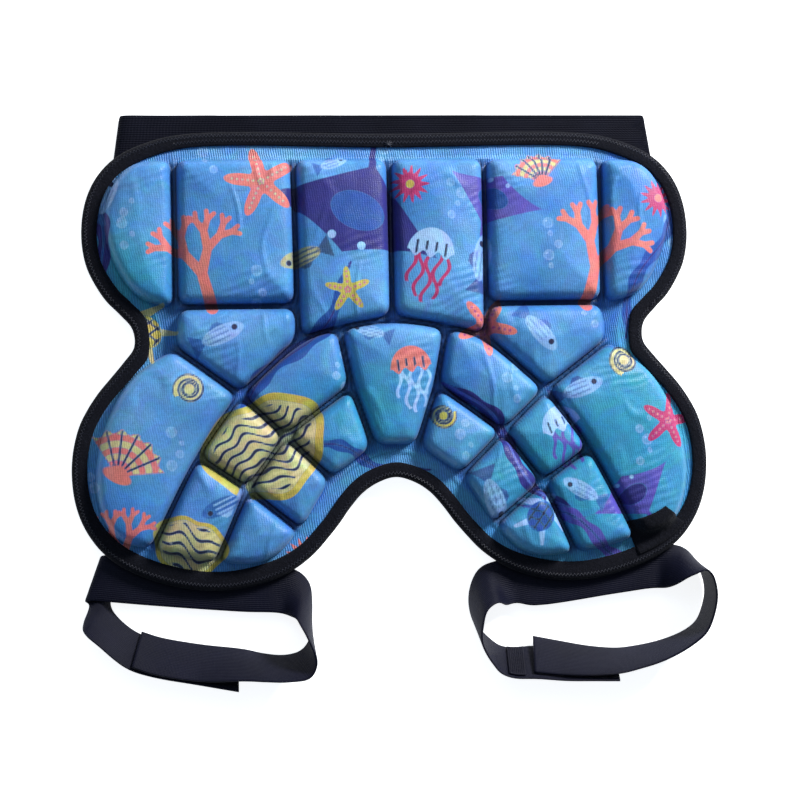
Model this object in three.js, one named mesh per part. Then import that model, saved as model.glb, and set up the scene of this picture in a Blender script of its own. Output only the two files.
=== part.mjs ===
// A child's tailbone protector: a flat, butterfly-shaped hip and seat pad with raised foam cells,
// an edge binding, an elastic waistband and two elastic leg loops. It lies face up.
// Millimetres, +Z up, +X to the right across the pad, +Y from the seat to the waist.
import * as THREE from "three";

// Driving dimensions: the pad.
const PAD_HALF_WIDTH = 207;
const PAD_HEIGHT = 294;
const PANEL_THICKNESS = 3;
const GROOVE_WIDTH = 4.5;
const CENTRE_GROOVE_WIDTH = 6;
const CELL_HEIGHT = 13;
const CELL_CROWN = 1.6;
const CELL_SHOULDER = 5;
const CELL_CORNER = 7;

// Driving dimensions: the binding, a folded tape round the pad's edge.
const BINDING_WIDTH = 9.8;
const BINDING_TAPE = 1.2;

// Driving dimensions: the waistband, a flattened loop of elastic sewn behind the pad's top edge.
const WAISTBAND_WIDTH = 40;
const WAISTBAND_LENGTH = 354;
const WAISTBAND_FLARE = 6;
const WAISTBAND_RISE = 13;
const WAISTBAND_THICKNESS = 1.5;
const WAIST_OPENING = 5.5;

// Driving dimensions: the leg loops, webbing that closes with hook and loop tape.
const WEBBING_WIDTH = 30;
const WEBBING_THICKNESS = 1.5;
const LEG_LOOP_SPAN = 146;
const LEG_LOOP_DROP = 60;
const LEG_LOOP_TUCK = 16;
const HOOK_TAPE_THICKNESS = 0.9;

// Clearance between pieces that are sewn face to face.
const SEAM_GAP = 0.3;

// Levels above the surface that the protector lies on.
const RUN_TOP = 2 * WAISTBAND_THICKNESS + WAIST_OPENING;
const BINDING_BACK = RUN_TOP + SEAM_GAP;
const PANEL_BACK = BINDING_BACK + BINDING_TAPE + SEAM_GAP;
const PANEL_FACE = PANEL_BACK + PANEL_THICKNESS;
const CELL_FOOT = PANEL_FACE + SEAM_GAP;
const NEAR_RUN_LEVEL = RUN_TOP - WEBBING_THICKNESS / 2;

const finish = (color, roughness) => new THREE.MeshStandardMaterial({ color, roughness, metalness: 0 });
const PRINTED_FABRIC = finish(0x4a90cc, 0.75);
const BINDING_FABRIC = finish(0x17171f, 0.85);
const ELASTIC = finish(0x1b1b24, 0.8);
const HOOK_TAPE = finish(0x22222b, 0.9);

// A place on the pad: shares of its half width and of its height above the lobes' lowest edge.
const onPad = (across, up) => new THREE.Vector2(across * PAD_HALF_WIDTH, up * PAD_HEIGHT);

// Half of the pad's edge, from the middle of the top round one side to the crotch.
// Columns: across and up as shares of the pad, and the binding's width there as a share of its own.
const HALF_EDGE = [
  [0, 1, 0.94],
  [0.635, 1, 0.94],
  [0.76, 0.98, 1],
  [0.856, 0.946, 1],
  [0.923, 0.891, 1],
  [0.957, 0.81, 1],
  [0.947, 0.714, 1],
  [0.885, 0.633, 1.06],
  [0.817, 0.583, 1.06],
  [0.798, 0.546, 1.06],
  [0.837, 0.5, 1.06],
  [0.918, 0.432, 1],
  [0.976, 0.361, 1],
  [1, 0.265, 1],
  [0.976, 0.163, 1.05],
  [0.899, 0.082, 1.2],
  [0.76, 0.027, 1.25],
  [0.558, 0, 1.25],
  [0.375, 0.024, 1.2],
  [0.269, 0.07, 1.05],
  [0.192, 0.129, 1],
  [0.101, 0.207, 1],
  [0, 0.238, 0.98],
];

// The cells meet at these points, given for one side as shares of the pad.
const MEETING_POINTS = {
  topMiddle: [0, 0.946],
  topInner: [0.302, 0.946],
  topOuter: [0.673, 0.946],
  hipShoulder: [0.842, 0.94],
  hipSide: [0.918, 0.795],
  hipHeel: [0.82, 0.634],
  hipFoot: [0.673, 0.61],
  waistInner: [0.298, 0.618],
  waistOuter: [0.673, 0.618],
  archMiddle: [0, 0.59],
  archInner: [0.172, 0.57],
  archOuter: [0.296, 0.544],
  sideNotch: [0.685, 0.532],
  fanHeart: [0.481, 0.425],
  centreSide: [0.135, 0.44],
  centreFoot: [0.07, 0.302],
  innerCross: [0.342, 0.333],
  outerCross: [0.618, 0.294],
  lowerCross: [0.464, 0.22],
  crotchUpper: [0.2, 0.236],
  crotchLower: [0.298, 0.124],
  seatBottom: [0.567, 0.055],
  seatBottomOuter: [0.66, 0.068],
  seatBottomInner: [0.4, 0.05],
  thighFoot: [0.764, 0.088],
  thighHip: [0.83, 0.47],
  thighUpper: [0.91, 0.36],
  thighSide: [0.945, 0.24],
  thighLower: [0.9, 0.115],
};

// The cells of one side: the points that each goes round, and which of them bend softly.
const HALF_CELLS = [
  { name: "hip_cell", round: ["topOuter", "hipShoulder", "hipSide", "hipHeel", "hipFoot"],
    soft: ["hipShoulder", "hipSide", "hipHeel"] },
  { name: "upper_cell_outer", round: ["topInner", "topOuter", "waistOuter", "waistInner"] },
  { name: "upper_cell_inner", round: ["topMiddle", "topInner", "archOuter", "archInner", "archMiddle"],
    soft: ["archInner"] },
  { name: "wedge_cell", round: ["waistInner", "waistOuter", "sideNotch", "fanHeart", "archOuter"] },
  { name: "thigh_cell",
    round: ["sideNotch", "thighHip", "thighUpper", "thighSide", "thighLower", "thighFoot", "outerCross", "fanHeart"],
    soft: ["thighHip", "thighUpper", "thighSide", "thighLower", "outerCross"] },
  { name: "seat_cell_1", round: ["archInner", "archOuter", "fanHeart", "innerCross", "centreSide"],
    soft: ["archOuter"] },
  { name: "seat_cell_2", round: ["centreSide", "innerCross", "crotchUpper", "centreFoot"] },
  { name: "seat_cell_3", round: ["fanHeart", "outerCross", "lowerCross", "innerCross"] },
  { name: "seat_cell_4", round: ["innerCross", "lowerCross", "crotchLower", "crotchUpper"] },
  { name: "seat_cell_5", round: ["outerCross", "thighFoot", "seatBottomOuter", "seatBottom", "lowerCross"],
    soft: ["seatBottomOuter"] },
  { name: "seat_cell_6", round: ["lowerCross", "seatBottom", "seatBottomInner", "crotchLower"],
    soft: ["seatBottomInner"] },
];
const CENTRE_CELL_HALF = ["archMiddle", "archInner", "centreSide", "centreFoot"];

// How a cell rises: inset as a share of its shoulder, and height as a share of its own.
const CELL_PROFILE = [
  [0, 0],
  [0, 0.55],
  [0.12, 0.78],
  [0.45, 0.94],
  [1, 1],
];
const CROWN_SHARE = 0.55;
const CROWN_RISE = 0.75;

// The leg loops' routes. Each row is one place on the edge of the webbing next to the opening:
// across: outwards from the lobe's middle, as a share of LEG_LOOP_SPAN
// down:   below the tucked edge, as a share of LEG_LOOP_DROP
// rise:   0 on the surface, 1 at the level of the run that is sewn behind the pad
// lean:   degrees between the webbing and the surface, 90 on edge
// turn:   degrees outwards from straight down the pad, seen from above
// layer:  1 where it lies on the other end of the webbing
const LEFT_ROUTE = [
  { across: 0.342, down: 0.7, rise: 0, lean: 44, turn: 17, layer: 1 },
  { across: 0.26, down: 0.77, rise: 0, lean: 43, turn: 13, layer: 1 },
  { across: 0.082, down: 0.86, rise: 0, lean: 44, turn: 4, layer: 1 },
  { across: -0.106, down: 0.93, rise: 0, lean: 53, turn: 1, layer: 1 },
  { across: -0.192, down: 0.975, rise: 0, lean: 58, turn: -6, layer: 0.6 },
  { across: -0.288, down: 0.985, rise: 0, lean: 60, turn: -10, layer: 0 },
  { across: -0.363, down: 0.935, rise: 0, lean: 57, turn: -12, layer: 0 },
  { across: -0.402, down: 0.8, rise: 0, lean: 60, turn: -8, layer: 0 },
  { across: -0.408, down: 0.6, rise: 0, lean: 66, turn: 20, layer: 0 },
  { across: -0.411, down: 0.4, rise: 0.05, lean: 54, turn: 30, layer: 0 },
  { across: -0.402, down: 0.217, rise: 0.35, lean: 38, turn: 26, layer: 0 },
  { across: -0.36, down: 0.095, rise: 0.58, lean: 18, turn: 16, layer: 0 },
  { across: -0.285, down: 0.03, rise: 0.93, lean: 2, turn: 3, layer: 0 },
  { across: -0.11, down: 0, rise: 1, lean: 0, turn: 1, layer: 0 },
  { across: 0.267, down: -0.092, rise: 1, lean: 0, turn: 2, layer: 0 },
  { across: 0.411, down: -0.133, rise: 1, lean: 0, turn: 9, layer: 0 },
  { across: 0.486, down: -0.147, rise: 0.92, lean: 0, turn: 17, layer: 0 },
  { across: 0.504, down: -0.14, rise: 0.76, lean: 1, turn: 19, layer: 0 },
  { across: 0.512, down: -0.13, rise: 0.49, lean: 2, turn: 20, layer: 0 },
  { across: 0.504, down: -0.117, rise: 0.22, lean: 3, turn: 21, layer: 0 },
  { across: 0.487, down: -0.094, rise: 0.02, lean: 4, turn: 22, layer: 0 },
  { across: 0.457, down: 0.048, rise: 0, lean: 9, turn: 34, layer: 0 },
  { across: 0.464, down: 0.24, rise: 0, lean: 25, turn: 42, layer: 0 },
  { across: 0.472, down: 0.4, rise: 0, lean: 42, turn: 44, layer: 0 },
  { across: 0.438, down: 0.533, rise: 0, lean: 49, turn: 37, layer: 0 },
  { across: 0.352, down: 0.7, rise: 0, lean: 44, turn: 20, layer: 0 },
  { across: 0.26, down: 0.775, rise: 0, lean: 42, turn: 13, layer: 0 },
  { across: 0.082, down: 0.865, rise: 0, lean: 41, turn: 4, layer: 0 },
  { across: -0.082, down: 0.94, rise: 0, lean: 39, turn: 2, layer: 0 },
];
const RIGHT_ROUTE = [
  { across: -0.1815, down: 0.89, rise: 0, lean: 43, turn: -9, layer: 1 },
  { across: -0.062, down: 0.955, rise: 0, lean: 48, turn: -8, layer: 1 },
  { across: 0.075, down: 1.025, rise: 0, lean: 56, turn: -6, layer: 1 },
  { across: 0.2, down: 1.058, rise: 0, lean: 62, turn: -8, layer: 1 },
  { across: 0.28, down: 1.035, rise: 0, lean: 66, turn: -8, layer: 0.6 },
  { across: 0.404, down: 0.967, rise: 0, lean: 68, turn: -20, layer: 0 },
  { across: 0.52, down: 0.867, rise: 0, lean: 73, turn: -24, layer: 0 },
  { across: 0.578, down: 0.76, rise: 0, lean: 78, turn: -14, layer: 0 },
  { across: 0.608, down: 0.6, rise: 0, lean: 81, turn: -8, layer: 0 },
  { across: 0.622, down: 0.433, rise: 0, lean: 86, turn: -4, layer: 0 },
  { across: 0.61, down: 0.25, rise: 0, lean: 87, turn: -4, layer: 0 },
  { across: 0.576, down: 0.092, rise: 0.15, lean: 80, turn: -3, layer: 0 },
  { across: 0.545, down: -0.005, rise: 0.4, lean: 64, turn: -3, layer: 0 },
  { across: 0.51, down: -0.06, rise: 0.62, lean: 50, turn: -6, layer: 0 },
  { across: 0.47, down: -0.085, rise: 0.74, lean: 28, turn: -8, layer: 0 },
  { across: 0.4, down: -0.115, rise: 0.93, lean: 1, turn: -3, layer: 0 },
  { across: 0.219, down: -0.075, rise: 1, lean: 0, turn: -1, layer: 0 },
  { across: -0.178, down: 0.033, rise: 1, lean: 0, turn: 0, layer: 0 },
  { across: -0.27, down: 0, rise: 0.94, lean: 0, turn: 3, layer: 0 },
  { across: -0.342, down: 0.035, rise: 0.76, lean: 13, turn: 10, layer: 0 },
  { across: -0.411, down: 0.1, rise: 0.5, lean: 38, turn: 20, layer: 0 },
  { across: -0.449, down: 0.24, rise: 0.18, lean: 50, turn: 18, layer: 0 },
  { across: -0.466, down: 0.45, rise: 0, lean: 56, turn: 18, layer: 0 },
  { across: -0.452, down: 0.65, rise: 0, lean: 62, turn: 8, layer: 0 },
  { across: -0.418, down: 0.783, rise: 0, lean: 62, turn: 0, layer: 0 },
  { across: -0.377, down: 0.883, rise: 0, lean: 60, turn: -6, layer: 0 },
  { across: -0.336, down: 0.958, rise: 0, lean: 57, turn: -10, layer: 0 },
  { across: -0.281, down: 0.99, rise: 0, lean: 54, turn: -9, layer: 0 },
  { across: -0.185, down: 0.98, rise: 0, lean: 50, turn: -8, layer: 0 },
  { across: -0.062, down: 1.01, rise: 0, lean: 50, turn: -6, layer: 0 },
  { across: 0.075, down: 1.05, rise: 0, lean: 54, turn: -6, layer: 0 },
  { across: 0.192, down: 1.075, rise: 0, lean: 56, turn: -8, layer: 0 },
];
const STEPS_PER_ROW = 5;
// The share of a route over which the webbing's direction is measured, to each side.
const TANGENT_STEP = 0.004;
// The hook tape starts and ends at these places on the right route, counted in its rows.
const HOOK_TAPE_ROWS = [26 + 3 / STEPS_PER_ROW, 27 + 3 / STEPS_PER_ROW];
const HOOK_TAPE_EDGES = [0.05, 0.95];

// How finely curved edges are cut.
const EDGE_STEPS = 112;
const CORNER_STEPS = 3;
const FOLD_STEPS = 6;

// Turns a list of closed rings of the same length into one closed solid.
// Each side is cut along its shorter diagonal, so that the two faces of a thin, twisted strip stay apart.
// A looped solid joins the last ring to the first. Otherwise its two ends are capped.
function solidFromRings(rings, { looped = false, endPoints = [] } = {}) {
  const count = rings[0].length;
  const points = rings.flat();
  const positions = points.flatMap((p) => [p.x, p.y, p.z]);
  const triangles = [];
  const between = (a, b) => points[a].distanceTo(points[b]);
  const bands = looped ? rings.length : rings.length - 1;
  for (let r = 0; r < bands; r++) {
    const low = r * count;
    const high = ((r + 1) % rings.length) * count;
    for (let i = 0; i < count; i++) {
      const next = (i + 1) % count;
      const [a, b, c, d] = [low + i, low + next, high + next, high + i];
      triangles.push(...(between(a, c) <= between(b, d) ? [a, b, c, a, c, d] : [a, b, d, b, c, d]));
    }
  }
  if (!looped) {
    [0, rings.length - 1].forEach((r, end) => {
      const centre = endPoints[end] ?? middleOf(rings[r]);
      positions.push(centre.x, centre.y, centre.z);
      const hub = positions.length / 3 - 1;
      for (let i = 0; i < count; i++) {
        const here = r * count + i;
        const next = r * count + ((i + 1) % count);
        triangles.push(...(end === 0 ? [hub, next, here] : [hub, here, next]));
      }
    });
  }
  return facingOut(positions, triangles);
}

function middleOf(points) {
  const sum = points.reduce((total, p) => total.add(p), points[0].clone().set(0, 0, 0));
  return sum.divideScalar(points.length);
}

// Makes the geometry, and turns its faces round if they point inwards, as mirrored ones do.
function facingOut(positions, triangles) {
  const at = (i) => new THREE.Vector3().fromArray(positions, i * 3);
  let volume = 0;
  for (let i = 0; i < triangles.length; i += 3) {
    const [a, b, c] = [at(triangles[i]), at(triangles[i + 1]), at(triangles[i + 2])];
    volume += a.dot(b.cross(c)) / 6;
  }
  const faces = volume < 0 ? triangles.toReversed() : triangles;
  const geometry = new THREE.BufferGeometry();
  geometry.setAttribute("position", new THREE.Float32BufferAttribute(positions, 3));
  geometry.setIndex(faces);
  geometry.computeVertexNormals();
  return geometry;
}

// The pad's edge as a closed curve, with the binding's width beside each point.
function padEdge() {
  const otherHalf = HALF_EDGE.slice(1, -1).toReversed().map(([across, up, wide]) => [-across, up, wide]);
  const rows = [...HALF_EDGE, ...otherHalf];
  const asPoint = ([across, up, wide]) => new THREE.Vector3(...onPad(across, up).toArray(), wide * BINDING_WIDTH);
  return new THREE.CatmullRomCurve3(rows.map(asPoint), true, "centripetal");
}

// Points along the pad's edge, each moved inwards by a distance that may follow the binding's width.
function edgeInset(shares, distance) {
  const edge = padEdge();
  return shares.map((share) => {
    const here = edge.getPointAt(share);
    const along = edge.getTangentAt(share).setZ(0).normalize();
    const inwards = distance(here.z);
    return new THREE.Vector2(here.x + along.y * inwards, here.y - along.x * inwards);
  });
}

const ALL_ROUND = Array.from({ length: EDGE_STEPS }, (_, i) => i / EDGE_STEPS);

function basePanel() {
  const outline = edgeInset(ALL_ROUND, () => BINDING_TAPE + SEAM_GAP);
  const plate = new THREE.ExtrudeGeometry(new THREE.Shape(outline), {
    depth: PANEL_THICKNESS,
    bevelEnabled: false,
  });
  return plate.translate(0, 0, PANEL_BACK);
}

// The binding's section is a U laid on its side: back leg, outer wall and face leg.
function edgeBinding() {
  const bindingFace = CELL_FOOT + BINDING_TAPE;
  const slot = BINDING_TAPE;
  const corners = [
    { inset: (wide) => wide, z: BINDING_BACK },
    { inset: () => 0, z: BINDING_BACK },
    { inset: () => 0, z: bindingFace },
    { inset: (wide) => wide, z: bindingFace },
    { inset: (wide) => wide, z: CELL_FOOT },
    { inset: () => slot, z: CELL_FOOT },
    { inset: () => slot, z: BINDING_BACK + BINDING_TAPE },
    { inset: (wide) => wide, z: BINDING_BACK + BINDING_TAPE },
  ];
  const lines = corners.map(({ inset, z }) =>
    edgeInset(ALL_ROUND, inset).map((p) => new THREE.Vector3(p.x, p.y, z)));
  const rings = ALL_ROUND.map((_, i) => lines.map((line) => line[i]));
  return solidFromRings(rings, { looped: true });
}

// Moves each side of a polygon inwards by the same distance. The polygon goes round clockwise.
function insetPolygon(points, distance) {
  const count = points.length;
  const sides = points.map((here, i) => {
    const along = points[(i + 1) % count].clone().sub(here).normalize();
    const inwards = new THREE.Vector2(along.y, -along.x).multiplyScalar(distance);
    return { start: here.clone().add(inwards), along };
  });
  return sides.map((side, i) => {
    const before = sides[(i + count - 1) % count];
    const between = side.start.clone().sub(before.start);
    const reach = between.cross(side.along) / before.along.cross(side.along);
    return before.start.clone().addScaledVector(before.along, reach);
  });
}

// Rounds a polygon's corners with quadratic curves. A soft corner takes half of each side beside it.
function roundedOutline(points, isSoft, corner) {
  const count = points.length;
  const cut = (length, soft) => (soft ? length / 2 : Math.min(corner, length / 2));
  return points.flatMap((here, i) => {
    const before = points[(i + count - 1) % count];
    const after = points[(i + 1) % count];
    const start = here.clone().lerp(before, cut(here.distanceTo(before), isSoft[i]) / here.distanceTo(before));
    const end = here.clone().lerp(after, cut(here.distanceTo(after), isSoft[i]) / here.distanceTo(after));
    const bend = new THREE.QuadraticBezierCurve(start, here, end);
    return bend.getPoints(isSoft[i] ? CORNER_STEPS + 1 : CORNER_STEPS);
  });
}

// A raised cell: walls, a rounded shoulder and a crowned face over its outline.
function raisedCell(corners, isSoft, groove) {
  const ringAt = ([inset, height]) => {
    const polygon = insetPolygon(corners, groove / 2 + inset * CELL_SHOULDER);
    const outline = roundedOutline(polygon, isSoft, CELL_CORNER * (1 - inset / 2));
    return outline.map((p) => new THREE.Vector3(p.x, p.y, CELL_FOOT + height * CELL_HEIGHT));
  };
  const rings = CELL_PROFILE.map(ringAt);
  const rim = rings.at(-1);
  const top = middleOf(rim);
  top.z += CELL_CROWN;
  const crown = rim.map((p) => p.clone().lerp(top, CROWN_SHARE).setZ(p.z + CROWN_RISE * CELL_CROWN));
  return solidFromRings([...rings, crown], { endPoints: [undefined, top] });
}

const meetingPoint = (name) => onPad(...MEETING_POINTS[name]);
const mirrored = (point, side) => new THREE.Vector2(point.x * side, point.y);

function cellOfSide({ round, soft = [] }, side) {
  const names = side > 0 ? round : round.toReversed();
  const corners = names.map((name) => mirrored(meetingPoint(name), side));
  return raisedCell(corners, names.map((name) => soft.includes(name)), GROOVE_WIDTH);
}

function centreCell() {
  const right = CENTRE_CELL_HALF.map(meetingPoint);
  const left = right.slice(1).toReversed().map((point) => mirrored(point, -1));
  const isSoft = [...CENTRE_CELL_HALF, ...CENTRE_CELL_HALF.slice(1).toReversed()];
  return raisedCell([...right, ...left], isSoft.map((name) => name === "archMiddle"), CENTRE_GROOVE_WIDTH);
}

// Half a turn of the waistband's section at one end, as offsets from the end's centre.
function foldArc(radius, side) {
  return Array.from({ length: FOLD_STEPS + 1 }, (_, i) => {
    const angle = Math.PI * (i / FOLD_STEPS - 0.5) * side;
    return { x: side * radius * Math.cos(angle), z: radius * Math.sin(angle) };
  });
}

// A flattened loop: two long runs and a fold at each end, a little longer at its lower edge.
function waistband() {
  const top = PAD_HEIGHT + WAISTBAND_RISE;
  const radii = [RUN_TOP / 2, RUN_TOP / 2 - WAISTBAND_THICKNESS];
  const loopAt = (radius, share) => {
    const reach = (WAISTBAND_LENGTH + WAISTBAND_FLARE * (2 * share - 1)) / 2 - RUN_TOP / 2;
    const y = top - share * WAISTBAND_WIDTH;
    return [1, -1].flatMap((side) =>
      foldArc(radius, side).map(({ x, z }) => new THREE.Vector3(side * reach + x, y, RUN_TOP / 2 + z)));
  };
  const [outer, inner] = radii;
  const lines = [loopAt(outer, 0), loopAt(outer, 1), loopAt(inner, 1), loopAt(inner, 0)];
  const rings = lines[0].map((_, i) => lines.map((line) => line[i]));
  return solidFromRings(rings, { looped: true });
}

// Curves along a leg loop's route: its edge, the direction across the webbing, and its layer.
function routeCurves(route, side) {
  const lobe = HALF_EDGE.reduce((low, row) => (row[1] < low[1] ? row : low));
  const middle = onPad(lobe[0], 0);
  const floor = WEBBING_THICKNESS / 2;
  const edge = route.map(({ across, down, rise }) => new THREE.Vector3(
    side * (middle.x + across * LEG_LOOP_SPAN),
    middle.y + LEG_LOOP_TUCK - down * LEG_LOOP_DROP,
    floor + rise * (NEAR_RUN_LEVEL - floor)));
  const across = route.map(({ lean, turn }) => {
    const [up, out] = [lean, turn].map(THREE.MathUtils.degToRad);
    return new THREE.Vector3(side * Math.sin(out) * Math.cos(up), -Math.cos(out) * Math.cos(up), Math.sin(up));
  });
  const layer = route.map((row) => new THREE.Vector3(row.layer, 0, 0));
  return [edge, across, layer].map((points) => new THREE.CatmullRomCurve3(points));
}

// A strip of the webbing between two rows of the route and two shares of its width.
function strip(curves, rows, between, shares, lift, thickness) {
  const [edge, across, layer] = curves;
  const last = edge.points.length - 1;
  const [from, to] = rows;
  const steps = Math.max(2, Math.round((to - from) * STEPS_PER_ROW));
  const floor = WEBBING_THICKNESS / 2;
  const placeAt = (t) => edge.getPoint(t).max(new THREE.Vector3(-Infinity, -Infinity, floor));
  const widthAt = (t) => across.getPoint(t).normalize();
  const middleAt = (t) => placeAt(t).addScaledVector(widthAt(t), WEBBING_WIDTH / 2);
  const rings = Array.from({ length: steps + 1 }, (_, i) => {
    const t = (from + ((to - from) * i) / steps) / last;
    const width = widthAt(t);
    const along = middleAt(Math.min(t + TANGENT_STEP, 1)).sub(middleAt(Math.max(t - TANGENT_STEP, 0)));
    const inner = new THREE.Vector3().crossVectors(width, along).normalize();
    const height = layer.getPoint(t).x * between + lift;
    const place = placeAt(t);
    const corner = (share, level) => place.clone()
      .addScaledVector(width, share * WEBBING_WIDTH)
      .addScaledVector(inner, height + level * thickness);
    return [corner(shares[0], -0.5), corner(shares[1], -0.5), corner(shares[1], 0.5), corner(shares[0], 0.5)];
  });
  return solidFromRings(rings);
}

const LAYER_STEP = WEBBING_THICKNESS + SEAM_GAP;

function legStrap(route, side) {
  return strip(routeCurves(route, side), [0, route.length - 1], LAYER_STEP, [0, 1], 0, WEBBING_THICKNESS);
}

function hookPatch() {
  const lift = (WEBBING_THICKNESS + HOOK_TAPE_THICKNESS) / 2 + 2 * SEAM_GAP;
  return strip(routeCurves(RIGHT_ROUTE, 1), HOOK_TAPE_ROWS, LAYER_STEP, HOOK_TAPE_EDGES, lift, HOOK_TAPE_THICKNESS);
}

function piece(name, geometry, material) {
  const mesh = new THREE.Mesh(geometry, material);
  mesh.name = name;
  return mesh;
}

const protector = new THREE.Group();
protector.add(piece("base_panel", basePanel(), PRINTED_FABRIC));
protector.add(piece("tailbone_cell", centreCell(), PRINTED_FABRIC));
for (const cell of HALF_CELLS) {
  protector.add(piece(`${cell.name}_left`, cellOfSide(cell, -1), PRINTED_FABRIC));
  protector.add(piece(`${cell.name}_right`, cellOfSide(cell, 1), PRINTED_FABRIC));
}
protector.add(piece("edge_binding", edgeBinding(), BINDING_FABRIC));
protector.add(piece("waistband", waistband(), ELASTIC));
protector.add(piece("leg_strap_left", legStrap(LEFT_ROUTE, -1), ELASTIC));
protector.add(piece("leg_strap_right", legStrap(RIGHT_ROUTE, 1), ELASTIC));
protector.add(piece("hook_patch", hookPatch(), HOOK_TAPE));

// The origin is the middle of the surface under the whole protector.
const box = new THREE.Box3().setFromObject(protector, true);
const middle = box.getCenter(new THREE.Vector3());
protector.position.set(-middle.x, -middle.y, -box.min.z);

export default protector;
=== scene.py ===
"""A child's tailbone protector: a butterfly-shaped pad of raised foam cells under one printed knit,
with a binding, an elastic waistband and two webbing leg loops. Metres, in the frame of the CAD model."""
import math

import bmesh
import bpy
import numpy as np
from mathutils import Matrix, Vector, noise
from mathutils.bvhtree import BVHTree


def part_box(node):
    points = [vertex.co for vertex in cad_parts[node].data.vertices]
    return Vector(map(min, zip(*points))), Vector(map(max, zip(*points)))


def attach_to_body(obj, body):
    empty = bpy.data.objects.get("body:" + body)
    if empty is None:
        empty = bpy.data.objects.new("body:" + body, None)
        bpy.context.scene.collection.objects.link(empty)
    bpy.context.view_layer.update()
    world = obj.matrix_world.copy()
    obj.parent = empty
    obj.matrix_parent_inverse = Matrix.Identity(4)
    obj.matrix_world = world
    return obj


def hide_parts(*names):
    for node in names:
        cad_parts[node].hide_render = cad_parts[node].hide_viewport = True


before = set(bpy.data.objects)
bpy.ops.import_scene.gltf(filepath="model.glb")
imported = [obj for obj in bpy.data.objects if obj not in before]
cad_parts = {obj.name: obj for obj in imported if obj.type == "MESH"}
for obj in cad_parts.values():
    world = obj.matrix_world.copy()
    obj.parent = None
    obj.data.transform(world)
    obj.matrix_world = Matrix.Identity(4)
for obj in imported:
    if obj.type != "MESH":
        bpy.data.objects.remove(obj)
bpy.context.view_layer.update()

MM = 0.001
CELLS = [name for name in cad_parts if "_cell" in name]

# The camera stands a little to the left of the pad and below its middle, and looks down on it.
VIEW_PLACE = Vector((-145.07, -56.87, 1227.65)) * MM
VIEW_LEAN = (0.1225, 0.0462)
VIEW_ROLL = -0.0245
VIEW_LENS = 85
SENSOR_WIDTH = 36

# The printed cover.
GRID_STEP = 1.05 * MM
SHOULDER = 6.5 * MM
SHOULDER_ROUNDNESS = 2.3
GROOVE_CLOSING = 0.75 * MM
CROWN_REACH = 12 * MM
CROWN_RISE = 5.6 * MM
WALL_PULL = 0.8
WALL_REACH = 3 * MM
STEP_FROM_EDGE = 15.5 * MM
STEP_WIDTH = 1.2 * MM
STEP_RISE = 0.7 * MM
STEP_LIP = 0.45 * MM
STEP_LIP_WIDTH = 0.9 * MM
FLANGE_RIPPLE = 0.14 * MM
SEAM_RIDGE = 1.6 * MM
SEAM_WIDTH = 1.3 * MM
GROOVE_DROP = 0.5 * MM
GROOVE_REACH = 6 * MM
NEAR_A_CELL = 30 * MM
BULGE, BULGE_SIZE = 0.8 * MM, 34 * MM
DIMPLE, DIMPLE_SIZE = 0.3 * MM, 13 * MM
FOLD, FOLD_SIZE = 0.7 * MM, 21 * MM
WRINKLE_PITCH = 5.2 * MM
WRINKLE_DEPTH = 0.2 * MM
UNDER_BINDING = 7.5 * MM

# The cover's knit.
RIB_PITCH = 1.5 * MM
RIB_SLANT = 0.12
RIB_SWAY = 5 * MM
KNIT_RELIEF = 0.055 * MM

# The binding, which is gathered where the pad's edge turns in at the waist.
SECTIONS_PER_CORNER = 6
WAIST_TURN = (0.165, 0.042)
GATHER_REACH = 40 * MM
GATHER_BLEND = 30 * MM

# The binding's free end: where it starts and stops along the edge, and its reach in widths of the binding.
TAIL_ENDS = [(0.1905, -0.0865), (0.1600, -0.1065)]
TAIL_REACH = 2.45
TAIL_THICKNESS = 0.9 * MM

# Stitching.
STITCH_PITCH = 2.3 * MM
STITCH_SWING = 1.7 * MM
THREAD_RADIUS = 0.27 * MM
TOP_ROW = {"above": 0.16, "half_length": 0.14}

# Tapes and hooks.
TAPE_STEP = 1.5 * MM
HOOK_STEP = 1.2 * MM
HOOKS_A_ROW = 18
HOOK_LEVELS = [(0, 0, 0.2), (0.5, 0, 0.17), (0.8, 0.3, 0.1)]


def smooth(t):
    """A soft ramp from 0 to 1."""
    t = np.clip(t, 0, 1)
    return t * t * (3 - 2 * t)


def new_object(name, verts, faces):
    """A mesh object with smooth faces."""
    mesh = bpy.data.meshes.new(name)
    mesh.from_pydata([tuple(v) for v in verts], [], [tuple(f) for f in faces])
    mesh.validate()
    mesh.shade_smooth()
    obj = bpy.data.objects.new(name, mesh)
    bpy.context.collection.objects.link(obj)
    return obj


def tube_faces(steps, sides, looped=False):
    """The faces between rings of corners that lie one after another."""
    faces = []
    for i in range(steps if looped else steps - 1):
        here, there = i * sides, (i + 1) % steps * sides
        for k in range(sides):
            after = (k + 1) % sides
            faces.append((here + k, here + after, there + after, there + k))
    return faces


def finish_piece(obj, slot, material, *replaced):
    """Gives a piece its material, lets it ride on the body, and hides the nodes it stands for. The slot is
    not used.
    """
    obj.data.materials.append(material)
    if replaced:
        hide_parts(*replaced)
    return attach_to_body(obj, "root")


# Materials


def new_material(name):
    """A material with its node tree and its shader."""
    material = bpy.data.materials.new(name)
    material.use_nodes = True
    return material, material.node_tree, material.node_tree.nodes["Principled BSDF"]


def add(tree, kind, inputs=None, **settings):
    """Adds a node. An input is a value, or another node's output that is linked to it."""
    node = tree.nodes.new(kind)
    for key, value in settings.items():
        setattr(node, key, value)
    for key, value in (inputs or {}).items():
        if isinstance(value, bpy.types.NodeSocket):
            tree.links.new(value, node.inputs[key])
        else:
            node.inputs[key].default_value = value
    return node


def math_node(tree, operation, a, b=0.0):
    return add(tree, "ShaderNodeMath", {0: a, 1: b}, operation=operation).outputs[0]


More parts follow.
